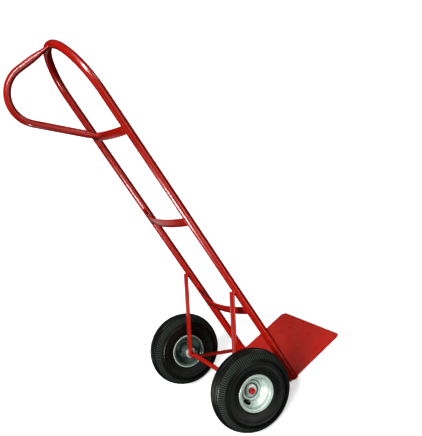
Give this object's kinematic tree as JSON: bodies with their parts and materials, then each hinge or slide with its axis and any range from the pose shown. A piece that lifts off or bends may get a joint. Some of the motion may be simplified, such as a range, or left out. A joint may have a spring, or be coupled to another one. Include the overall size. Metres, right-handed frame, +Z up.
{
  "type": "hand truck",
  "caption": "Upright hand truck: arched tube frame with a loop handle behind it, bowed cross straps, a flat toe plate and a pair of air-filled wheels on a braced rear axle.",
  "frame": {"origin": "on the floor under the toe plate, midway between the two rails and in the plane of their centrelines", "axes": "+Z up along the rails, +Y toward the handle, the axle and the user, -Y toward the load and the front edge of the toe plate, X along the axle with +X to the user's left when facing the load"},
  "size_m": [0.585, 0.512, 1.303],
  "materials": {
    "red_paint": "gloss",
    "rim_steel": "satin",
    "zinc_steel": "satin",
    "bearing_steel": "satin",
    "tyre_rubber": "matte",
    "soft_rubber": "satin",
    "cap_plastic": "satin"
  },
  "bodies": {
    "frame": {"frame_tube": "red_paint", "handle_loop": "red_paint", "cross_strap_top": "red_paint", "cross_strap_middle": "red_paint", "cross_strap_bottom": "red_paint", "toe_plate": "red_paint", "axle": "red_paint", "axle_bracket_left": "red_paint", "axle_bracket_right": "red_paint", "washer_inner_left": "zinc_steel", "washer_inner_right": "zinc_steel", "washer_outer_left": "zinc_steel", "washer_outer_right": "zinc_steel", "axle_cap_left": "red_paint", "axle_cap_right": "red_paint"},
    "left_wheel": {"tyre_left": "tyre_rubber", "inner_tube_left": "soft_rubber", "rim_outer_half_left": "rim_steel", "rim_inner_half_left": "rim_steel", "hub_tube_left": "rim_steel", "bearing_outer_left": "bearing_steel", "bearing_inner_left": "bearing_steel", "valve_stem_left": "soft_rubber", "valve_cap_left": "cap_plastic"},
    "right_wheel": {"tyre_right": "tyre_rubber", "inner_tube_right": "soft_rubber", "rim_outer_half_right": "rim_steel", "rim_inner_half_right": "rim_steel", "hub_tube_right": "rim_steel", "bearing_outer_right": "bearing_steel", "bearing_inner_right": "bearing_steel", "valve_stem_right": "soft_rubber", "valve_cap_right": "cap_plastic"}
  },
  "joints": [
    {"name": "left_wheel_spin", "type": "hinge", "parent": "frame", "child": "left_wheel", "pos_m": [0.25, 0.162, 0.132], "axis": [1, 0, 0], "continuous": true},
    {"name": "right_wheel_spin", "type": "hinge", "parent": "frame", "child": "right_wheel", "pos_m": [-0.25, 0.162, 0.132], "axis": [1, 0, 0], "continuous": true}
  ]
}
